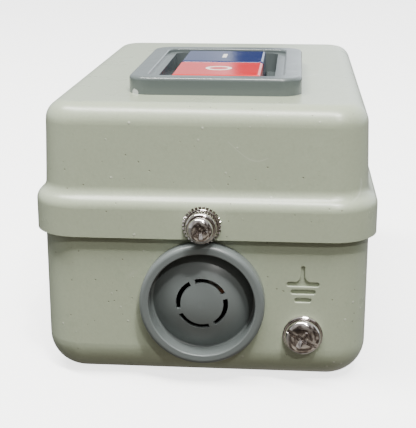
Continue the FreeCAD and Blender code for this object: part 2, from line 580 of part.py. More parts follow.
for x in POLES:
    for y in ("S.mech_front+4.5", "S.mech_back-6"):
        tools.append(cyl("terminal_pilot", (x, y, "12"), "2.0", "10"))
node("mechanism_base", cut("block_cut", fuse("block_body", adds), tools))

node("mechanism_screws", fuse("mechanism_screw_set", [
    cut("mech_screw", fuse("mech_screw_body", [cyl("mech_shank", (x, y, "S.base_sheet+0.2"), "1.95", "8-S.base_sheet-0.2"),
                                               cyl("mech_head", (x, y, "8"), "3.2", "2.4")]),
        [box("mech_recess", (x + "-2", x + "+2"), (y + "-0.5", y + "+0.5"), (9.0, 11)),
         box("mech_recess", (x + "-0.5", x + "+0.5"), (y + "-2", y + "+2"), (9.0, 11))]) for x, y in EARS]))

w = "S.housing_wall"
outer = box("housing_outer", (mx0, mx1), ("S.housing_front", "S.housing_back"), ("S.block_top", "S.housing_top"))
inner = box("housing_inner", (mx0 + "+" + w, mx1 + "-" + w), ("S.housing_front+" + w, "S.housing_back-" + w),
            ("S.block_top-1", "S.housing_top-" + w))
tools = [inner]
for x in POLES:
    for y in (("S.housing_front-1", "S.housing_front+2"), ("S.housing_back-2", "S.housing_back+1")):
        tools.append(box("strip_notch", (x + "-S.strip_half-0.2", x + "+S.strip_half+0.2"), y,
                         ("S.block_top-1", "S.block_top+S.strip_thick+0.2")))
tools += [cyl("off_stem_hole", ("S.bezel_x", off_mid, "S.housing_top-3"), "S.stem_radius+0.35", "6"),
          cyl("on_stem_hole", ("S.bezel_x", on_mid, "S.housing_top-3"), "S.stem_radius+0.35", "6"),
          cyl("dial_hole", ("S.mech_x", "S.dial_y", "S.housing_top-3"), "3.3", "6")]
for i in range(5):
    tools.append(box("vent", (mx0 + "-1", mx1 + "+1"), ("14+%g" % (i * 3.2), "14+%g" % (i * 3.2 + 1.4)), (26, 40)))
node("mechanism_housing", cut("housing_cut", outer, tools))

g_front, g_back = "S.off_front-3.4", "S.on_back+3.4"
outer = box("guide_outer", ("S.bezel_x-16.5", "S.bezel_x+16.5"), (g_front, g_back), ("S.housing_top", "S.guide_top"))
tools = [box("guide_room", ("S.bezel_x-14.5", "S.bezel_x+14.5"), (g_front + "+1.6", g_back + "-1.6"),
             ("S.housing_top-1", "S.cap_bottom+0.3")),
         box("guide_off", gap_x, ("S.off_front-S.cap_gap", "S.off_back+S.cap_gap"), (60, 70)),
         box("guide_on", gap_x, ("S.on_front-S.cap_gap", "S.on_back+S.cap_gap"), (60, 70))]
node("button_guide", cut("guide_cut", outer, tools))

shelf = box("shelf", (mx0 + "+" + w, mx1 + "-" + w), ("S.housing_front+" + w, "S.housing_back-" + w),
            ("S.shelf_bottom", "S.shelf_bottom+S.shelf_thick"))
tools = [box("shelf_on", ("S.mech_x-5", "S.mech_x+5"), ("-15.5", "0.5"), (40, 46)),
         box("shelf_off", ("S.mech_x-4", "S.mech_x+4"), (-35, -26), (40, 46)),
         box("shelf_bimetal", ("S.mech_x-S.pole_pitch-4", "S.mech_x+S.pole_pitch+4"), (17.0, 23.0), (40, 46))]
node("mechanism_shelf", cut("shelf_cut", shelf, tools))

# ---- current path: line strip, fixed tips, bridge, contact strip, heater, bimetal, load strip
zs = ("S.block_top", "S.block_top+S.strip_thick")
zt = ("S.block_top+S.strip_thick", "S.block_top+S.strip_thick+S.tip_thick")


def per_pole(label, make):
    pieces = []
    for x in POLES:
        pieces += make(x)
    return node(label, fuse(label + "_set", pieces))


def sx(x, half_width):
    return (x + "-" + str(half_width), x + "+" + str(half_width))


per_pole("line_terminals", lambda x: [cut("line_strip", box("line_bar", sx(x, "S.strip_half"), ("S.mech_front", "S.bridge_front+4.4"), zs),
                                          [cyl("line_bore", (x, "S.mech_front+4.5", "15"), "2.0", "10")])])
per_pole("contact_strips", lambda x: [box("contact_bar", sx(x, "S.strip_half"), ("S.bridge_back-3.7", "19"), zs)])
per_pole("load_terminals", lambda x: [cut("load_strip", box("load_bar", sx(x, "S.strip_half"), ("S.bimetal_front-0.2", "S.mech_back"), zs),
                                          [cyl("load_bore", (x, "S.mech_back-6", "15"), "2.0", "10")])])
per_pole("fixed_contact_tips", lambda x: [
    box("tip", sx(x, 2.0), ("S.bridge_front+0.5", "S.bridge_front+3.5"), zt),
    box("tip", sx(x, 2.0), ("S.bridge_back-3.5", "S.bridge_back-0.5"), zt)])


def terminal_screw(x, y):
    z = "S.block_top+S.strip_thick+1.0"
    body = fuse("term_screw", [cyl("term_shank", (x, y, "13"), "1.95", z + "-13"), cyl("term_head", (x, y, z), "3.5", "2.6")])
    return [cut("term_screw_cut", body, [
        box("term_slot", (x + "-2.2", x + "+2.2"), (y + "-0.5", y + "+0.5"), (z + "+1.2", z + "+3")),
        box("term_slot", (x + "-0.5", x + "+0.5"), (y + "-2.2", y + "+2.2"), (z + "+1.2", z + "+3"))])]


def clamp(x, y):
    z = "S.block_top+S.strip_thick"
    return [cut("clamp", box("clamp_plate", sx(x, 4.3), (y + "-4", y + "+4"), (z, z + "+1.0")),
                [cyl("clamp_bore", (x, y, z + "-1"), "2.1", "3")])]


per_pole("line_terminal_screws", lambda x: terminal_screw(x, "(S.mech_front+4.5)"))
per_pole("load_terminal_screws", lambda x: terminal_screw(x, "(S.mech_back-6)"))
per_pole("terminal_clamps", lambda x: clamp(x, "(S.mech_front+4.5)") + clamp(x, "(S.mech_back-6)"))

bf, bb = "S.bimetal_front", "S.bimetal_front+S.bimetal_thick"
per_pole("bimetal_strips", lambda x: [box("bimetal", sx(x, 3.0), (bf, bb), ("S.block_top+S.strip_thick", 47))])
per_pole("heater_windings", lambda x: [fuse("heater", [
    cut("heater_sleeve", box("heater_outer", sx(x, 3.9), (bf + "-0.9", bb + "+0.9"), (25, 37)),
        [box("heater_inner", sx(x, 3.0), (bf, bb), (24, 38))]),
    box("heater_lead", sx(x, 0.7), ("17.4", "18.6"), ("S.block_top+S.strip_thick", 27.2)),
    box("heater_bridge", sx(x, 0.7), ("18.5", bf + "-0.8"), (26, 27.2))])])

# ================================================================== mechanism, moving parts
cf, cb = "S.carrier_front", "S.carrier_back"
block = box("carrier_block", ("S.mech_x-20", "S.mech_x+20"), (cf, cb), ("S.carrier_bottom", "S.carrier_top"))
tools = [box("carrier_window", sx(x, 4.2), (cf + "-1", cb + "+1"), ("S.bridge_bottom", 36)) for x in POLES]
tools += [cyl("carrier_seat", (x, y, "S.carrier_bottom-1"), "2.7", "3") for x, y in SPRINGS]
node("contact_carrier", cut("carrier_cut", block, tools))
zb = ("S.bridge_bottom", "S.bridge_bottom+S.bridge_thick")
per_pole("moving_contacts", lambda x: [box("bridge", sx(x, 3.0), ("S.bridge_front", "S.bridge_back"), zb)])
zm = ("S.bridge_bottom-S.tip_thick", "S.bridge_bottom")
per_pole("moving_contact_tips", lambda x: [
    box("moving_tip", sx(x, 2.0), ("S.bridge_front+0.5", "S.bridge_front+3.5"), zm),
    box("moving_tip", sx(x, 2.0), ("S.bridge_back-3.5", "S.bridge_back-0.5"), zm)])


def tube(name, at, r_out, r_in, length):
    x, y, z = at
    return cut(name, cyl(name + "_outer", at, r_out, length), [cyl(name + "_inner", (x, y, "(%s)-1" % z), r_in, "(%s)+2" % length)])


per_pole("contact_springs", lambda x: [tube("contact_spring", (x, on_mid, "S.bridge_bottom+S.bridge_thick"), "3.0", "2.3",
                                            "36-S.bridge_bottom-S.bridge_thick")])
node("carrier_springs", fuse("carrier_spring_set", [tube("carrier_spring", (x, y, "10"), "2.3", "1.7", "16.5") for x, y in SPRINGS]))
node("off_spring", tube("off_spring_tube", ("S.bezel_x", off_mid, "S.housing_top"), "6.4", "5.2", "S.foot_bottom-S.housing_top"))
node("on_spring", tube("on_spring_tube", ("S.bezel_x", on_mid, "S.housing_top"), "6.4", "5.2", "S.foot_bottom-S.housing_top"))

# trip slide: moved by the wedge of the OFF stem or by the tips of the bimetals
zl = ("S.slide_bottom", "S.slide_bottom+S.slide_thick")
bar = box("slide_bar", ("S.mech_x-7.5", "S.mech_x+7.5"), (-37, 16.5), zl)
cross = box("slide_cross", ("S.mech_x-S.pole_pitch-3.5", "S.mech_x+S.pole_pitch+3.5"), (16, 19), zl)
hook = box("slide_hook", ("S.mech_x-2.5", "S.mech_x+2.5"), (-12.4, -10.9), (37.0, "S.slide_bottom+0.5"))
lip = box("slide_lip", ("S.mech_x-2.5", "S.mech_x+2.5"), (-12.4, -9.8), (37.0, 38.2))
slot_body = doc.addObject("PartDesign::Body", "slide_wedge_slot")
ssk = outline(new_sketch(slot_body, "wedge_slot_section", "YZ_Plane", z="S.bezel_x-2.9"),
              [(-32.35, 46.5), (-30.25, 43.5), (-25.0, 43.5), (-25.0, 46.5)])
pad(slot_body, "wedge_slot_pad", ssk, "5.8")
doc.recompute()
tools = [slot_body,
         box("slide_on", ("S.mech_x-S.stem_radius-0.6", "S.mech_x+S.stem_radius+0.6"),
             (on_mid + "-S.stem_radius-0.6", on_mid + "+S.stem_radius+3.2"), (42, 48))]
node("trip_slide", cut("slide_cut", fuse("slide_body", [bar, cross, hook, lip]), tools))

# overload current dial with its pointer slot
dial = turned("dial_turned", [(0.0, -5.0), (3.0, -5.0), (3.0, 0.2), (8.0, 0.2), (8.0, 2.8), (7.2, 3.6), (0.0, 3.6)],
              ("S.mech_x", "S.dial_y", "S.housing_top"), "z")
node("current_dial", cut("dial_cut", dial, [
    box("dial_slot", ("S.mech_x-4.5", "S.mech_x+4.5"), ("S.dial_y-0.6", "S.dial_y+0.6"), ("S.housing_top+2.2", "S.housing_top+5")),
    box("dial_pointer", ("S.mech_x-0.4", "S.mech_x+0.4"), ("S.dial_y+5", "S.dial_y+9"), ("S.housing_top+3.0", "S.housing_top+5"))]))

# ================================================================== check and export
doc.recompute()
bad = [o.Name + " " + ",".join(o.State) for o in doc.Objects if "Invalid" in o.State or "Error" in o.State]
if bad:
    raise SystemExit("failed features: " + "; ".join(bad))
os.makedirs("parts", exist_ok=True)
for old in os.listdir("parts"):
    if old.endswith(".step"):
        os.remove(os.path.join("parts", old))
for label, obj in NODES.items():
    shape = obj.Shape
    if shape.isNull() or not shape.isValid() or not shape.Solids:
        raise SystemExit("bad shape: " + label)
for label, obj in NODES.items():
    obj.Shape.exportStep(os.path.join("parts", label + ".step"))
    bb = obj.Shape.BoundBox
    print("%-22s solids %2d  volume %9.1f  x %6.1f %6.1f  y %6.1f %6.1f  z %5.1f %5.1f" % (
        label, len(obj.Shape.Solids), obj.Shape.Volume, bb.XMin, bb.XMax, bb.YMin, bb.YMax, bb.ZMin, bb.ZMax))
print(len(NODES), "nodes")
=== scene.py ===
import bpy, bmesh, json, math, random
from mathutils import Matrix, Vector


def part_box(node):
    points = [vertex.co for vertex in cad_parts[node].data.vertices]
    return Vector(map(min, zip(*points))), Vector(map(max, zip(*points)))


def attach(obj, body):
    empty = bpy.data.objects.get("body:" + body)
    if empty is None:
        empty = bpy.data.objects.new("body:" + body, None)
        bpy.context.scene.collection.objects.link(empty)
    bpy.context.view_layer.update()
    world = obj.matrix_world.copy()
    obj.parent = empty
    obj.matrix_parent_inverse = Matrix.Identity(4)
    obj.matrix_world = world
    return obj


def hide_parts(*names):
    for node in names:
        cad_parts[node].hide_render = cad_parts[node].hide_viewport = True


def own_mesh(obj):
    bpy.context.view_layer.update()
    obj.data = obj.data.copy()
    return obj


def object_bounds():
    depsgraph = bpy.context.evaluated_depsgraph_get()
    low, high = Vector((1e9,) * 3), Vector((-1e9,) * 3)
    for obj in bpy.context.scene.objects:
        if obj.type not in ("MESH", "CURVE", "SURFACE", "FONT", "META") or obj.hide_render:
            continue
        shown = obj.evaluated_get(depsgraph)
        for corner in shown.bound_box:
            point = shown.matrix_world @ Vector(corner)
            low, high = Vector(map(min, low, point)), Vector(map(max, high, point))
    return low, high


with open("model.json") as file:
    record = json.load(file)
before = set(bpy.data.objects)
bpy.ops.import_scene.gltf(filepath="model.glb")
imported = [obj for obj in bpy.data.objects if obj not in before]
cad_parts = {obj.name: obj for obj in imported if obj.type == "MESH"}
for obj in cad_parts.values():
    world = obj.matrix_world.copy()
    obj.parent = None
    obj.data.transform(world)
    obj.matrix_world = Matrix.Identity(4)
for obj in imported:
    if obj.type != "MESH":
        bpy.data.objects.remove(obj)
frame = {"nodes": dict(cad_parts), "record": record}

cad_lo, cad_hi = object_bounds()
MM = 0.001
NODES = frame["nodes"]
scene = bpy.context.scene


# ------------------------------------------------------------------ materials
def srgb(r, g, b):
    def lin(c):
        c /= 255.0
        return c / 12.92 if c <= 0.04045 else ((c + 0.055) / 1.055) ** 2.4
    return (lin(r), lin(g), lin(b), 1.0)


class Mat:
    """A node material in object space, so textures keep their real size on every piece."""

    def __init__(self, name, color, rough=0.5, metal=0.0, spec=0.5, coat=0.0, coat_rough=0.1):
        self.m = bpy.data.materials.new(name)
        self.m.use_nodes = True
        self.nt = self.m.node_tree
        self.bsdf = self.nt.nodes["Principled BSDF"]
        self.bsdf.inputs["Base Color"].default_value = color
        self.bsdf.inputs["Roughness"].default_value = rough
        self.bsdf.inputs["Metallic"].default_value = metal
        self.bsdf.inputs["Specular IOR Level"].default_value = spec
        self.bsdf.inputs["Coat Weight"].default_value = coat
        self.bsdf.inputs["Coat Roughness"].default_value = coat_rough
        self.coord = self.nt.nodes.new("ShaderNodeTexCoord")
        self.color = color
        self.col = None
        self.nrm = None

    def new(self, kind, **inputs):
        n = self.nt.nodes.new(kind)
        for k, v in inputs.items():
            n.inputs[k].default_value = v
        return n

    def link(self, a, b):
        self.nt.links.new(a, b)

    def vec(self, scale=(1, 1, 1), rot=(0, 0, 0)):
        mp = self.nt.nodes.new("ShaderNodeMapping")
        mp.inputs["Scale"].default_value = scale
        mp.inputs["Rotation"].default_value = rot
        self.link(self.coord.outputs["Object"], mp.inputs["Vector"])
        return mp.outputs["Vector"]

    def noise(self, scale, detail=3.0, rough=0.55, vec=None, distortion=0.0):
        n = self.new("ShaderNodeTexNoise", Scale=scale, Detail=detail, Roughness=rough, Distortion=distortion)
        self.link(vec if vec is not None else self.coord.outputs["Object"], n.inputs["Vector"])
        return n.outputs["Fac"]

    def voronoi(self, scale, vec=None, feature="F1", rnd=1.0):
        n = self.nt.nodes.new("ShaderNodeTexVoronoi")
        n.feature = feature
        n.inputs["Scale"].default_value = scale
        n.inputs["Randomness"].default_value = rnd
        self.link(vec if vec is not None else self.coord.outputs["Object"], n.inputs["Vector"])
        return n

    def ramp(self, fac, stops):
        r = self.nt.nodes.new("ShaderNodeValToRGB")
        el = r.color_ramp.elements
        while len(el) < len(stops):
            el.new(0.5)
        for e, (p, v) in zip(el, stops):
            e.position = p
            e.color = v if len(v) == 4 else (v[0], v[0], v[0], 1)
        self.link(fac, r.inputs["Fac"])
        return r.outputs["Color"]

    def math(self, op, a, b=None, clamp=False):
        n = self.nt.nodes.new("ShaderNodeMath")
        n.operation = op
        n.use_clamp = clamp
        for i, v in enumerate((a, b)):
            if v is None:
                continue
            if isinstance(v, (int, float)):
                n.inputs[i].default_value = v
            else:
                self.link(v, n.inputs[i])
        return n.outputs[0]

    def mix(self, fac, a, b, blend="MIX"):
        n = self.nt.nodes.new("ShaderNodeMix")
        n.data_type = "RGBA"
        n.blend_type = blend
        for i, v in ((0, fac), (6, a), (7, b)):
            if isinstance(v, (int, float)):
                n.inputs[i].default_value = v
            elif isinstance(v, tuple):
                n.inputs[i].default_value = v
            else:
                self.link(v, n.inputs[i])
        return n.outputs[2]

    def tint(self, fac, other):
        """Blend the colour so far towards another where fac is high."""
        self.col = self.mix(fac, self.col if self.col is not None else self.color, other)
        return self

    def bump(self, height, distance, strength=1.0):
        n = self.nt.nodes.new("ShaderNodeBump")
        n.inputs["Strength"].default_value = strength
        n.inputs["Distance"].default_value = distance
        self.link(height, n.inputs["Height"])
        if self.nrm is not None:
            self.link(self.nrm, n.inputs["Normal"])
        self.nrm = n.outputs["Normal"]
        return self

    def rough(self, sock):
        self.link(sock, self.bsdf.inputs["Roughness"])
        return self

    def done(self):
        if self.col is not None:
            self.link(self.col, self.bsdf.inputs["Base Color"])
        if self.nrm is not None:
            self.link(self.nrm, self.bsdf.inputs["Normal"])
        return self.m


def scaled(color, k):
    return tuple(min(1.0, c * k) for c in color[:3]) + (1.0,)


# stoved beige-grey paint on pressed steel: orange peel, pinholes, dust nibs, hairline scratches
def paint(name="painted_steel", shade_under_cover=False):
    base = (0.398, 0.448, 0.328, 1.0)
    m = Mat(name, base, rough=0.3, spec=0.3, coat=0.8, coat_rough=0.33)
    cloud = m.noise(28, 3.0)
    m.tint(m.math("MULTIPLY", m.ramp(cloud, [(0.35, (0,)), (0.7, (1,))]), 0.4), scaled(base, 0.93))
    grain = m.noise(1500, 2.0)
    m.tint(m.math("MULTIPLY", m.ramp(grain, [(0.42, (0,)), (0.72, (1,))]), 0.45), scaled(base, 1.09))
    m.tint(m.math("MULTIPLY", m.ramp(m.noise(1100, 2.0, vec=m.vec((1, 1, 1), (0.5, 0.2, 0.8))), [(0.52, (0,)), (0.75, (1,))]), 0.4),
           scaled(base, 0.88))
    pits = m.voronoi(400)
    pit = m.math("MULTIPLY", m.ramp(pits.outputs["Distance"], [(0.05, (1,)), (0.10, (0,))]),
                 m.ramp(m.noise(75, 1.0), [(0.46, (0,)), (0.50, (1,))]))
    m.tint(m.math("MULTIPLY", pit, 0.65), (0.13, 0.12, 0.085, 1))
    nibs = m.voronoi(330, vec=m.vec((1, 1, 1), (0.4, 0.7, 0.2)))
    nib = m.math("MULTIPLY", m.ramp(nibs.outputs["Distance"], [(0.07, (1,)), (0.13, (0,))]),
                 m.ramp(m.noise(60, 1.0, vec=m.vec((1, 1, 1), (1.1, 0.3, 0.9))), [(0.53, (0,)), (0.57, (1,))]))
    m.tint(m.math("MULTIPLY", nib, 0.5), (0.66, 0.67, 0.60, 1))
    line = m.math("ABSOLUTE", m.math("SUBTRACT", m.noise(34, 1.0, vec=m.vec((1, 1, 1), (0.9, 0.1, 1.3)), distortion=0.4), 0.5))
    scratch = m.math("MULTIPLY", m.ramp(line, [(0.0015, (1,)), (0.0045, (0,))]),
                     m.ramp(m.noise(58, 1.0, vec=m.vec((1, 1, 1), (0.2, 1.9, 0.4))), [(0.66, (0,)), (0.69, (1,))]))
    m.tint(m.math("MULTIPLY", scratch, 0.4), (0.62, 0.65, 0.58, 1))
    if shade_under_cover:
        # painted shade: a darker band on the wall just under the edge of the cover, standing in for the shade the cover
        # casts there
        split = m.nt.nodes.new("ShaderNodeSeparateXYZ")
        m.link(m.coord.outputs["Object"], split.inputs[0])
        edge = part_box("cover")[0][2]
        z = m.math("MULTIPLY", m.math("SUBTRACT", split.outputs[2], edge - 0.002), 1 / 0.003)
        under_cover_shade_band = m.ramp(m.math("ADD", z, m.math("MULTIPLY", m.math("SUBTRACT", m.noise(160, 3.0), 0.5), 0.10)),
                      [(0.50, (0,)), (0.66, (1,)), (0.80, (1,)), (0.95, (0,))])
        # painted shade under the cover's edge, darkening the wall colour in that band
        m.tint(m.math("MULTIPLY", under_cover_shade_band, 0.62), (0.085, 0.070, 0.045, 1))
    m.rough(m.ramp(m.noise(90, 4.0), [(0.3, (0.26,)), (0.7, (0.34,))]))
    m.bump(m.noise(520, 2.0), 0.00006, 0.5)
    m.bump(grain, 0.00003, 0.45)
    m.bump(m.noise(75, 2.0), 0.00035, 0.20)
    m.bump(m.math("SUBTRACT", nib, pit), 0.00010, 0.7)
    return m.done()


def plastic(name, base, rough=0.35, spec=0.5, peel=0.3, scuff=0.25, mottled=0.94, chip=None, coat=0.0):
    m = Mat(name, base, rough=rough, spec=spec)
    m.tint(m.math("MULTIPLY", m.ramp(m.noise(45, 3.0), [(0.35, (0,)), (0.7, (1,))]), 0.5), scaled(base, mottled))
    scr = m.noise(260, 3.0, vec=m.vec((1, 7, 1), (0, 0, 0.5)))
    scr2 = m.noise(300, 3.0, vec=m.vec((8, 1, 1), (0, 0, -0.35)))
    s = m.math("MULTIPLY", m.ramp(scr, [(0.66, (0,)), (0.70, (1,))]), m.ramp(scr2, [(0.45, (0,)), (0.60, (1,))]))
    m.tint(m.math("MULTIPLY", s, scuff), scaled(base, 1.5))
    if chip:
        # a blob of white putty left at one corner
        far_off = m.nt.nodes.new("ShaderNodeVectorMath")
        far_off.operation = "DISTANCE"
        m.link(m.coord.outputs["Object"], far_off.inputs[0])
        far_off.inputs[1].default_value = chip[0]
        wavy = m.math("ADD", far_off.outputs["Value"], m.math("MULTIPLY", m.noise(700, 2.0), chip[1]))
        m.tint(m.math("MULTIPLY", m.math("LESS_THAN", wavy, chip[1] * 1.45), 0.9), (0.60, 0.62, 0.62, 1))
    m.rough(m.ramp(m.noise(120, 4.0), [(0.3, (rough * 0.85,)), (0.7, (rough * 1.15,))]))
    m.bsdf.inputs["Coat Weight"].default_value = coat
    m.bsdf.inputs["Coat Roughness"].default_value = 0.14
    m.bump(m.noise(900, 2.0), 0.00002, peel)
    m.bump(s, 0.00002, 0.3)
    return m.done()


def metal(name, base, rough=0.2, brushed=0.0, spots=0.2, bump=0.2, scale=400, dark=None):
    m = Mat(name, base, rough=rough, metal=1.0)
    m.tint(m.math("MULTIPLY", m.ramp(m.noise(180, 4.0), [(0.45, (0,)), (0.7, (1,))]), spots), dark or scaled(base, 0.55))
    m.rough(m.ramp(m.noise(260, 4.0), [(0.3, (rough * 0.7,)), (0.7, (rough * 1.5,))]))
    m.bump(m.noise(scale, 2.0), 0.00003, bump)
    if brushed:
        m.bump(m.noise(200, 4.0, vec=m.vec((1, 14, 14))), 0.00002, brushed)
    return m.done()


corner_lo, corner_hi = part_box("button_bezel")
putty = (Vector((corner_lo[0] + 0.0011, corner_lo[1] + 0.0008, cad_hi[2] - 0.0046)), 0.0018)
M = {
    "painted_steel": paint(),
    "grey_plastic": plastic("grey_plastic", (0.112, 0.132, 0.132, 1), rough=0.22, chip=putty, coat=0.2),
    "red_plastic": plastic("red_plastic", (0.62, 0.022, 0.02, 1), rough=0.12, scuff=0.15, mottled=0.9),
    "blue_plastic": plastic("blue_plastic", (0.010, 0.022, 0.10, 1), rough=0.12, scuff=0.15, mottled=0.9),
    "white_plastic": plastic("white_plastic", (0.86, 0.85, 0.78, 1), rough=0.25, scuff=0.0, mottled=0.9),
    "grey_rubber": plastic("grey_rubber", (0.150, 0.170, 0.168, 1), rough=0.34, scuff=0.12),
    "nickel_steel": metal("nickel_steel", (0.72, 0.68, 0.66, 1), rough=0.08, spots=0.2, dark=(0.16, 0.12, 0.10, 1)),
    "zinc_steel": metal("zinc_steel", (0.80, 0.79, 0.76, 1), rough=0.36, brushed=0.2),
    "phenolic": plastic("phenolic", (0.028, 0.022, 0.018, 1), rough=0.38),
    "dark_plastic": plastic("dark_plastic", (0.030, 0.033, 0.034, 1), rough=0.45),
    "carrier_plastic": plastic("carrier_plastic", (0.46, 0.42, 0.33, 1), rough=0.45),
    "copper": metal("copper", (0.80, 0.42, 0.26, 1), rough=0.25, brushed=0.3, spots=0.35),
    "silver_contact": metal("silver_contact", (0.85, 0.83, 0.78, 1), rough=0.28),
    "bimetal": metal("bimetal", (0.52, 0.48, 0.42, 1), rough=0.32, brushed=0.4),
    "heater_wire": metal("heater_wire", (0.26, 0.24, 0.23, 1), rough=0.42),
    "spring_steel": metal("spring_steel", (0.50, 0.50, 0.50, 1), rough=0.22),
    "dial_plastic": plastic("dial_plastic", (0.60, 0.56, 0.44, 1), rough=0.42),
}
# the base's walls carry the painted shade band under the cover's edge
walls = paint("painted_steel_base", True)
slot_of = {s["node"]: s["material_slot"] for s in frame["record"]["subparts"]}
for name, obj in NODES.items():
    obj.data.materials.clear()
    obj.data.materials.append(walls if name == "base_box" else M[slot_of[name]])

# ------------------------------------------------------------------ pieces
def surface(bm, rings, close=True):
    """Skin a list of rings of points; a ring of one point is a pole."""
    made = [[bm.verts.new(p) for p in ring] for ring in rings]
    for a, b in zip(made, made[1:]):
        n = max(len(a), len(b))
        for i in range(n if close else n - 1):
            j = (i + 1) % n
            if len(a) == 1:
                bm.faces.new((a[0], b[j], b[i]))
            elif len(b) == 1:
                bm.faces.new((a[i], a[j], b[0]))
            else:
                bm.faces.new((a[i], a[j], b[j], b[i]))
    return made


def ring(r, h, n, wave=None):
    out = []
    for i in range(n):
        t = 2 * math.pi * i / n
        q = r if wave is None else wave(t, h)
        out.append(Vector((q * math.cos(t), q * math.sin(t), h)))
    return out


def sweep(bm, pts, radius, sides=10, flat=1.0):
    """A wire of round or flattened section along a line of points, with rounded ends."""
    pts = [Vector(p) for p in pts]
    normal = None
    rings = []
    for i, p in enumerate(pts):
        t = (pts[min(i + 1, len(pts) - 1)] - pts[max(i - 1, 0)]).normalized()
        if normal is None:
            normal = t.orthogonal().normalized()
        normal = (normal - t * normal.dot(t)).normalized()
        side = t.cross(normal)
        rings.append((p, t, normal.copy(), side))
    skins = []
    for k, (p, t, a, b) in enumerate(rings):
        if k == 0:
            skins.append([p - t * radius * 0.35])
            skins.append([p - t * radius * 0.2 + (a * math.cos(q) + b * math.sin(q)) * radius * 0.7 for q in
                          [2 * math.pi * i / sides for i in range(sides)]])
        skins.append([p + (a * math.cos(q) + b * math.sin(q) * flat) * radius for q in
                      [2 * math.pi * i / sides for i in range(sides)]])
        if k == len(rings) - 1:
            skins.append([p + t * radius * 0.2 + (a * math.cos(q) + b * math.sin(q)) * radius * 0.7 for q in
                          [2 * math.pi * i / sides for i in range(sides)]])
            skins.append([p + t * radius * 0.35])
    surface(bm, skins)


def coil_points(x, y, z0, z1, mean, wire, turns, per=28, phase=0.0, shape=None):
    """A compression spring's line: one closed turn at each end and even pitch between."""
    height = (z1 - z0) - 2 * wire
    d = 2 * wire * 1.04
    out = []
    for i in range(int(turns * per) + 1):
        t = i / per
        if t < 1:
            z = d * t
        elif t > turns - 1:
            z = height - d * (turns - t)
        else:
            z = d + (height - 2 * d) * (t - 1) / (turns - 2)
        a = 2 * math.pi * t + phase
        c, s_ = math.cos(a), math.sin(a)
        if shape:
            hx, hy, e = shape
            out.append((x + hx * math.copysign(abs(c) ** e, c), y + hy * math.copysign(abs(s_) ** e, s_), z0 + wire + z))
        else:
            out.append((x + mean * c, y + mean * s_, z0 + wire + z))
    return out


def finish_piece(name, bm, body, node, angle=35):
    bmesh.ops.recalc_face_normals(bm, faces=bm.faces)
    me = bpy.data.meshes.new(name)
    bm.to_mesh(me)
    bm.free()
    for f in me.polygons:
        f.use_smooth = True
    me.set_sharp_from_angle(angle=math.radians(angle))
    ob = bpy.data.objects.new(name, me)
    scene.collection.objects.link(ob)
    me.materials.append(M[slot_of[node]])
    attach(ob, body)
    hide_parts(node)
    return ob


def box_mm(node):
    lo_, hi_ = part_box(node)
    return [c * 1000 for c in lo_], [c * 1000 for c in hi_]


# springs of round wire
def spring(name, node, body, spots, mean, wire, turns, joint=None):
    lo_, hi_ = box_mm(node)
    bm = bmesh.new()
    for k, (x, y) in enumerate(spots):
        sweep(bm, [Vector(p) * MM for p in coil_points(x, y, lo_[2], hi_[2], mean, wire, turns, phase=0.7 * k)], wire * MM, 10)
    ob = finish_piece(name, bm, body, node, 80)
    if joint:
        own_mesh(ob)
    return ob


def centre(node):
    lo_, hi_ = box_mm(node)
    return ((lo_[0] + hi_[0]) / 2, (lo_[1] + hi_[1]) / 2)


poles = [-12.5, 1.5, 15.5]
spring("off_return_spring", "off_spring", "enclosure", [centre("off_spring")], 5.85, 0.45, 4.5, "off_press")
spring("on_return_spring", "on_spring", "enclosure", [centre("on_spring")], 5.85, 0.45, 4.5, "on_press")
cx, cy = centre("carrier_springs")
spring("carrier_return_springs", "carrier_springs", "enclosure", [(cx - 7, cy), (cx + 7, cy)], 2.0, 0.28, 13, "carrier_slide")
spring("contact_pressure_springs", "contact_springs", "contact_carrier", [(p, cy) for p in poles], 2.65, 0.30, 7)

# heaters wound of resistance wire round each bimetal
lo_, hi_ = box_mm("heater_windings")
bm = bmesh.new()
for x in poles:
    path = [(x, 18.0, lo_[2] + 0.1), (x, 18.0, lo_[2] + 2.5), (x, 18.0, 24.6), (x, 18.02, 25.1), (x, 18.12, 25.5), (x, 18.35, 25.78),
            (x, 18.7, 25.9), (x, 19.3, 25.92)]
    sweep(bm, [Vector(p) * MM for p in path], 0.52 * MM, 12)
    sweep(bm, [Vector(p) * MM for p in coil_points(x, 20.65, 25.0, 37.0, 0, 0.43, 10, per=40, phase=-1.571, shape=(3.46, 0.91, 0.42))],
          0.43 * MM, 10)
finish_piece("wound_heaters", bm, "enclosure", "heater_windings", 80)


# screws: threaded shank, domed head, driven recess cut with a tapered cross
def mesh_object(name, bm):
    bmesh.ops.recalc_face_normals(bm, faces=bm.faces)
    me = bpy.data.meshes.new(name)
    bm.to_mesh(me)
    bm.free()
    ob = bpy.data.objects.new(name, me)
    scene.collection.objects.link(ob)
    return ob


def cross_outline(w, l, turn):
    pts = [(l, w), (w, w), (w, l), (-w, l), (-w, w), (-l, w), (-l, -w), (-w, -w), (-w, -l), (w, -l), (w, -w), (l, -w)]
    c, s_ = math.cos(turn), math.sin(turn)
    return [(x * c - y * s_, x * s_ + y * c) for x, y in pts]


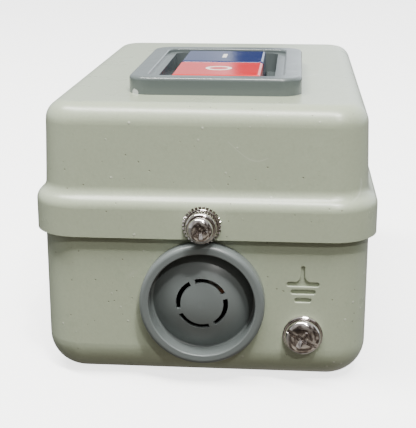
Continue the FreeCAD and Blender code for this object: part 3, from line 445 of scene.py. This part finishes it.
def made_screw(name, head, shank, pitch, recess, turn, slot_cut=None):
    """Head profile from rim to crown, shank (radius, length); heights in millimetres from under the head."""
    n = 96
    r0, length = shank

    def thread(t, h):
        run = min(1.0, (h + length) / 1.2, max(0.0, (-h - 0.8) / 0.8))
        tri = abs(((h / pitch - t / (2 * math.pi)) % 1.0) * 2 - 1)
        return (r0 - 0.30 * pitch * 1.1 * (1 - tri) * max(0.0, run)) - (0.45 * max(0.0, 1 - (h + length) / 0.8))

    bm = bmesh.new()
    steps = int(length / (pitch / 8))
    rings = [[Vector((0, 0, -length))], ring(r0 - 0.9, -length, n)]
    rings += [ring(r0, -length + length * i / steps, n, thread) for i in range(1, steps + 1)]
    rings += [ring(r, h, n) for r, h in head]
    rings.append([Vector((0, 0, head[-1][1] + 0.004))])
    surface(bm, rings)
    body = mesh_object(name + "_body", bm)
    cutters = []
    w0, w1, l0, l1, depth = recess
    top = head[-1][1]
    grow = 0.6 / depth
    up_w, up_l = w1 + (w1 - w0) * grow, l1 + (l1 - l0) * grow
    bm = bmesh.new()
    lower = [bm.verts.new((x, y, top - depth)) for x, y in cross_outline(w0, l0, turn)]
    upper = [bm.verts.new((x, y, top + 0.6)) for x, y in cross_outline(up_w, up_l, turn)]
    bm.faces.new(lower)
    bm.faces.new(upper)
    for i in range(12):
        j = (i + 1) % 12
        bm.faces.new((lower[i], lower[j], upper[j], upper[i]))
    cutters.append(mesh_object(name + "_cross", bm))
    if slot_cut:
        half, deep = slot_cut
        bm = bmesh.new()
        rings = []
        c, s_ = math.cos(turn), math.sin(turn)
        for z, w in ((top - deep, half), (top + 0.6, half * 1.12)):
            rings.append([Vector((x * c - y * s_, x * s_ + y * c, z)) for x, y in ((-6, -w), (6, -w), (6, w), (-6, w))])
        made = surface(bm, rings)
        bm.faces.new(made[0])
        bm.faces.new(made[1])
        cutters.append(mesh_object(name + "_slot", bm))
    for c_ in cutters:
        mod = body.modifiers.new("cut", "BOOLEAN")
        mod.operation = "DIFFERENCE"
        mod.solver = "EXACT"
        mod.object = c_
    bev = body.modifiers.new("edge", "BEVEL")
    bev.width = 0.07
    bev.segments = 2
    bev.limit_method = "ANGLE"
    bev.angle_limit = math.radians(42)
    deps = bpy.context.evaluated_depsgraph_get()
    out = bpy.data.meshes.new_from_object(body.evaluated_get(deps))
    for o in [body] + cutters:
        bpy.data.objects.remove(o, do_unlink=True)
    return out


def arc_profile(r_a, h_a, r_b, h_b, bulge, steps):
    """From (r_a, h_a) to (r_b, h_b) on a superellipse, steep first."""
    out = []
    for i in range(1, steps + 1):
        q = math.pi / 2 * i / steps
        out.append((r_b + (r_a - r_b) * math.cos(q) ** bulge, h_a + (h_b - h_a) * math.sin(q) ** bulge))
    return out


def outward(side, x, y, z):
    """Local +Z points out of the front (-1) or back (+1) wall."""
    cols = ((-side * 1.0, 0, 0), (0, 0, 1.0), (0, side * 1.0, 0))
    m = Matrix([[cols[j][i] for j in range(3)] for i in range(3)]).to_4x4()
    return Matrix.Translation(Vector((x, y, z)) * MM) @ Matrix.Scale(MM, 4) @ m


def placed(name, node, body, meshes, angle=30):
    bm = bmesh.new()
    for me, mat in meshes:
        me = me.copy()
        me.transform(mat)
        bm.from_mesh(me)
    return finish_piece(name, bm, body, node, angle)


lo_, hi_ = box_mm("cover_screws")
screw_z = (box_mm("cover_screw_sleeves")[0][2] + box_mm("cover_screw_sleeves")[1][2]) / 2
seat = box_mm("cover_screw_sleeves")[1][1]
head = [(2.95, 0.0), (3.09, 0.05), (3.125, 0.18), (3.125, 0.75)] + arc_profile(3.125, 0.75, 0.9, 2.14, 1.0, 14) + [(0.45, 2.185)]
raw = made_screw("cover_screw", head, (2.0, 11.5), 0.7, (0.26, 0.50, 0.55, 2.05, 1.75), math.radians(8))
placed("cover_screw_pair", "cover_screws", "enclosure", [(raw, outward(-1, 0, -seat, screw_z)), (raw, outward(1, 0, seat, screw_z))])
lo_, hi_ = box_mm("earth_screw")
ex, ez = (lo_[0] + hi_[0]) / 2, (lo_[2] + hi_[2]) / 2
seat = box_mm("earth_washer")[0][1]
head = [(4.25, 0.0), (4.40, 0.06), (4.45, 0.20), (4.45, 1.05)] + arc_profile(4.45, 1.05, 1.4, 2.68, 1.0, 16) + [(0.7, 2.735)]
raw = made_screw("earth_screw", head, (2.5, 9.5), 0.8, (0.32, 0.62, 0.8, 2.55, 2.1), math.radians(-28), (0.55, 1.25))
placed("earth_terminal_screw", "earth_screw", "enclosure", [(raw, outward(-1, ex, seat, ez))])

# lock washers with twisted teeth
bm = bmesh.new()
surface(bm, [ring(r, h, 120) for r, h in ((2.2, 0.10), (4.0, 0.10), (4.06, 0.16), (4.06, 0.54), (4.0, 0.60), (2.2, 0.60), (2.15, 0.5), (2.15, 0.2), (2.2, 0.10))])
bmesh.ops.remove_doubles(bm, verts=bm.verts, dist=0.0005)
TEETH = 30
for k in range(TEETH):
    t = 2 * math.pi * k / TEETH
    er, et = Vector((math.cos(t), math.sin(t), 0)), Vector((-math.sin(t), math.cos(t), 0))
    rings = []
    for i in range(6):
        f = i / 5
        r, w, th, tw = 3.9 + 0.88 * f, 0.33 - 0.07 * f, 0.19 - 0.03 * f, math.radians(40) * min(1.0, f * 1.5)
        a, b = et * math.cos(tw) + Vector((0, 0, math.sin(tw))), Vector((0, 0, math.cos(tw))) - et * math.sin(tw)
        c = er * r + Vector((0, 0, 0.35))
        rings.append([c + a * w + b * th, c - a * w + b * th, c - a * w - b * th, c + a * w - b * th])
    made = surface(bm, rings)
    bm.faces.new(made[0])
    bm.faces.new(made[-1])
washer = bpy.data.meshes.new("tooth_washer")
bmesh.ops.recalc_face_normals(bm, faces=bm.faces)
bm.to_mesh(washer)
bm.free()
wall = box_mm("cover_screw_sleeves")[1][1] - 3.7
placed("twisted_tooth_washers", "cover_lock_washers", "enclosure", [(washer, outward(-1, 0, -wall, screw_z)), (washer, outward(1, 0, wall, screw_z))], 25)

# ------------------------------------------------------------------ camera
YAW, PITCH, ROLL = math.radians(4.756), math.radians(16.236), math.radians(-0.063)
fwd = Vector((-math.sin(YAW) * math.cos(PITCH), math.cos(YAW) * math.cos(PITCH), -math.sin(PITCH)))
right = Vector((math.cos(YAW), math.sin(YAW), 0))
up = right.cross(fwd)
rot = Matrix((right, up, -fwd)).transposed()
cam = bpy.data.cameras.new("camera")
cam_obj = bpy.data.objects.new("camera", cam)
cam_obj.matrix_world = Matrix.Translation(Vector((21.972, -310.978, 116.531)) * MM) @ rot.to_4x4() @ Matrix.Rotation(ROLL, 4, "Z")
cam.sensor_width = 36.0
cam.lens = 1061.888 * 36.0 / 428.0
cam.clip_start = 0.01
cam.clip_end = 20
scene.collection.objects.link(cam_obj)
scene.camera = cam_obj

# ------------------------------------------------------------------ floor and light
bm = bmesh.new()
bmesh.ops.create_grid(bm, x_segments=1, y_segments=1, size=6.0)
me = bpy.data.meshes.new("floor")
bm.to_mesh(me)
bm.free()
floor = bpy.data.objects.new("floor", me)
floor.location = (0, 0, -0.0002)
scene.collection.objects.link(floor)
fm = Mat("floor_paper", (0.93, 0.93, 0.92, 1), rough=0.6, spec=0.2)
fm.tint(fm.math("MULTIPLY", fm.noise(6, 2.0), 0.05), (0.86, 0.86, 0.85, 1))
fm.bsdf.inputs["Emission Color"].default_value = (1, 1, 1, 1)
fm.bsdf.inputs["Emission Strength"].default_value = 2.4
floor.data.materials.append(fm.done())
floor.visible_diffuse = False
floor.visible_glossy = False

world = bpy.data.worlds.new("studio")
scene.world = world
world.use_nodes = True
wt = world.node_tree


def wn(kind, *links, **vals):
    """A world node with sockets linked or set by position."""
    n = wt.nodes.new(kind)
    for k, v in vals.items():
        setattr(n, k, v)
    for i, v in enumerate(links):
        if v is None:
            continue
        if isinstance(v, (int, float, tuple)):
            n.inputs[i].default_value = v
        else:
            wt.links.new(v, n.inputs[i])
    return n


def step(v, a, b, lo=0.0, hi=1.0):
    return wn("ShaderNodeMapRange", v, a, b, lo, hi, interpolation_type="SMOOTHSTEP").outputs[0]


def mul(a, b):
    return wn("ShaderNodeMath", a, b, operation="MULTIPLY").outputs[0]


def blend(f, a, b):
    n = wt.nodes.new("ShaderNodeMix")
    n.data_type = "RGBA"
    for i, v in ((0, f), (6, a), (7, b)):
        if isinstance(v, tuple):
            n.inputs[i].default_value = v
        else:
            wt.links.new(v, n.inputs[i])
    return n.outputs[2]


def sky(z, stops):
    r = wt.nodes.new("ShaderNodeValToRGB")
    el = r.color_ramp.elements
    while len(el) < len(stops):
        el.new(0.5)
    for e, (at, c) in zip(el, stops):
        e.position = at
        e.color = tuple(v / 2 for v in c) + (1,)
    wt.links.new(z, r.inputs["Fac"])
    return r.outputs["Color"]


xyz = wn("ShaderNodeSeparateXYZ", wn("ShaderNodeTexCoord").outputs["Generated"]).outputs
height = wn("ShaderNodeMapRange", xyz[2], -1.0, 1.0, 0.0, 1.0).outputs[0]
near = sky(height, [(0.0, (0.40, 0.38, 0.33)), (0.34, (0.20, 0.19, 0.17)), (0.47, (0.15, 0.14, 0.12)), (0.50, (0.09, 0.08, 0.07)), (0.74, (0.22, 0.22, 0.21)),
                    (0.90, (0.60, 0.60, 0.60)), (1.0, (0.75, 0.75, 0.75))])
far = sky(height, [(0.0, (0.34, 0.33, 0.30)), (0.49, (0.25, 0.25, 0.25)), (0.515, (1.30, 1.40, 1.50)),
                   (0.78, (1.30, 1.38, 1.46)), (0.90, (0.80, 0.80, 0.80)), (1.0, (0.75, 0.75, 0.75))])
sides = sky(height, [(0.0, (0.34, 0.33, 0.30)), (0.49, (0.25, 0.25, 0.24)), (0.515, (0.85, 0.86, 0.86)),
                     (0.75, (0.6, 0.6, 0.6)), (0.90, (0.65, 0.65, 0.65)), (1.0, (0.75, 0.75, 0.75))])
patch = wn("ShaderNodeTexNoise", wn("ShaderNodeTexCoord").outputs["Generated"], None, 2.6, 2.0)
room = wt.nodes.new("ShaderNodeValToRGB")
for e, (at, c) in zip([room.color_ramp.elements[0], room.color_ramp.elements[1]] + [room.color_ramp.elements.new(q) for q in (0.5, 0.6)],
                      ((0.42, (0.10, 0.085, 0.08)), (0.70, (1.0, 1.0, 1.0)), (0.50, (0.22, 0.19, 0.18)), (0.60, (0.62, 0.60, 0.58)))):
    e.position = at
    e.color = c + (1,)
wt.links.new(patch.outputs["Fac"], room.inputs["Fac"])
n = wt.nodes.new("ShaderNodeMix")
n.data_type, n.blend_type = "RGBA", "MULTIPLY"
n.inputs[0].default_value = 1.0
wt.links.new(near, n.inputs[6])
wt.links.new(room.outputs["Color"], n.inputs[7])
twice = wt.nodes.new("ShaderNodeMix")
twice.data_type, twice.blend_type = "RGBA", "MULTIPLY"
twice.inputs[0].default_value = 1.0
wt.links.new(n.outputs[2], twice.inputs[6])
twice.inputs[7].default_value = (2.8, 2.8, 2.8, 1)
lowish = step(xyz[2], 0.82, 0.60)
near = blend(lowish, near, twice.outputs[2])
col = blend(step(xyz[0], -0.55, -0.95), near, sides)
slope = wn("ShaderNodeMath", xyz[0], xyz[1], operation="DIVIDE").outputs[0]
tone = wt.nodes.new("ShaderNodeMix")
tone.data_type, tone.blend_type = "RGBA", "MULTIPLY"
tone.inputs[0].default_value = 1.0
wt.links.new(far, tone.inputs[6])
wt.links.new(step(slope, -0.095, -0.005, 0.48, 1.22), tone.inputs[7])
far = tone.outputs[2]
col = blend(step(xyz[1], -0.12, 0.30), col, far)
card = mul(mul(step(slope, -0.064, -0.055), step(slope, -0.010, -0.016)), mul(step(xyz[1], 0.3, 0.5), mul(step(xyz[2], 0.05, 0.10), step(xyz[2], 0.50, 0.42))))
col = blend(card, col, (0.02, 0.02, 0.05, 1))
bg = wt.nodes["Background"]
wt.links.new(col, bg.inputs["Color"])
bg.inputs["Strength"].default_value = 2.0


def aim(o, direction):
    o.rotation_mode = "QUATERNION"
    o.rotation_quaternion = Vector(direction).to_track_quat("-Z", "Y")
    scene.collection.objects.link(o)
    return o


def area(name, loc, target, size, power, color=(1, 1, 1), size_y=None):
    l = bpy.data.lights.new(name, "AREA")
    l.energy = power
    l.color = color
    l.size = size
    if size_y:
        l.shape = "RECTANGLE"
        l.size_y = size_y
    o = bpy.data.objects.new(name, l)
    o.location = loc
    return aim(o, Vector(target) - Vector(loc))


def sun(name, towards, strength, degrees, color=(1, 1, 1)):
    l = bpy.data.lights.new(name, "SUN")
    l.energy = strength
    l.angle = math.radians(degrees)
    l.color = color
    return aim(bpy.data.objects.new(name, l), -Vector(towards))


area("strip", (-0.14, -0.24, 1.0), (0.0, -0.02, 0.05), 1.2, 28.0, (1.0, 0.99, 0.96), 0.18)
sun("lamp", (0.50, -1.0, 2.0), 1.35, 3.0, (1.0, 0.985, 0.95))
sun("window", (0.41, -1.0, 0.92), 0.84, 1.5, (1.0, 0.985, 0.95))
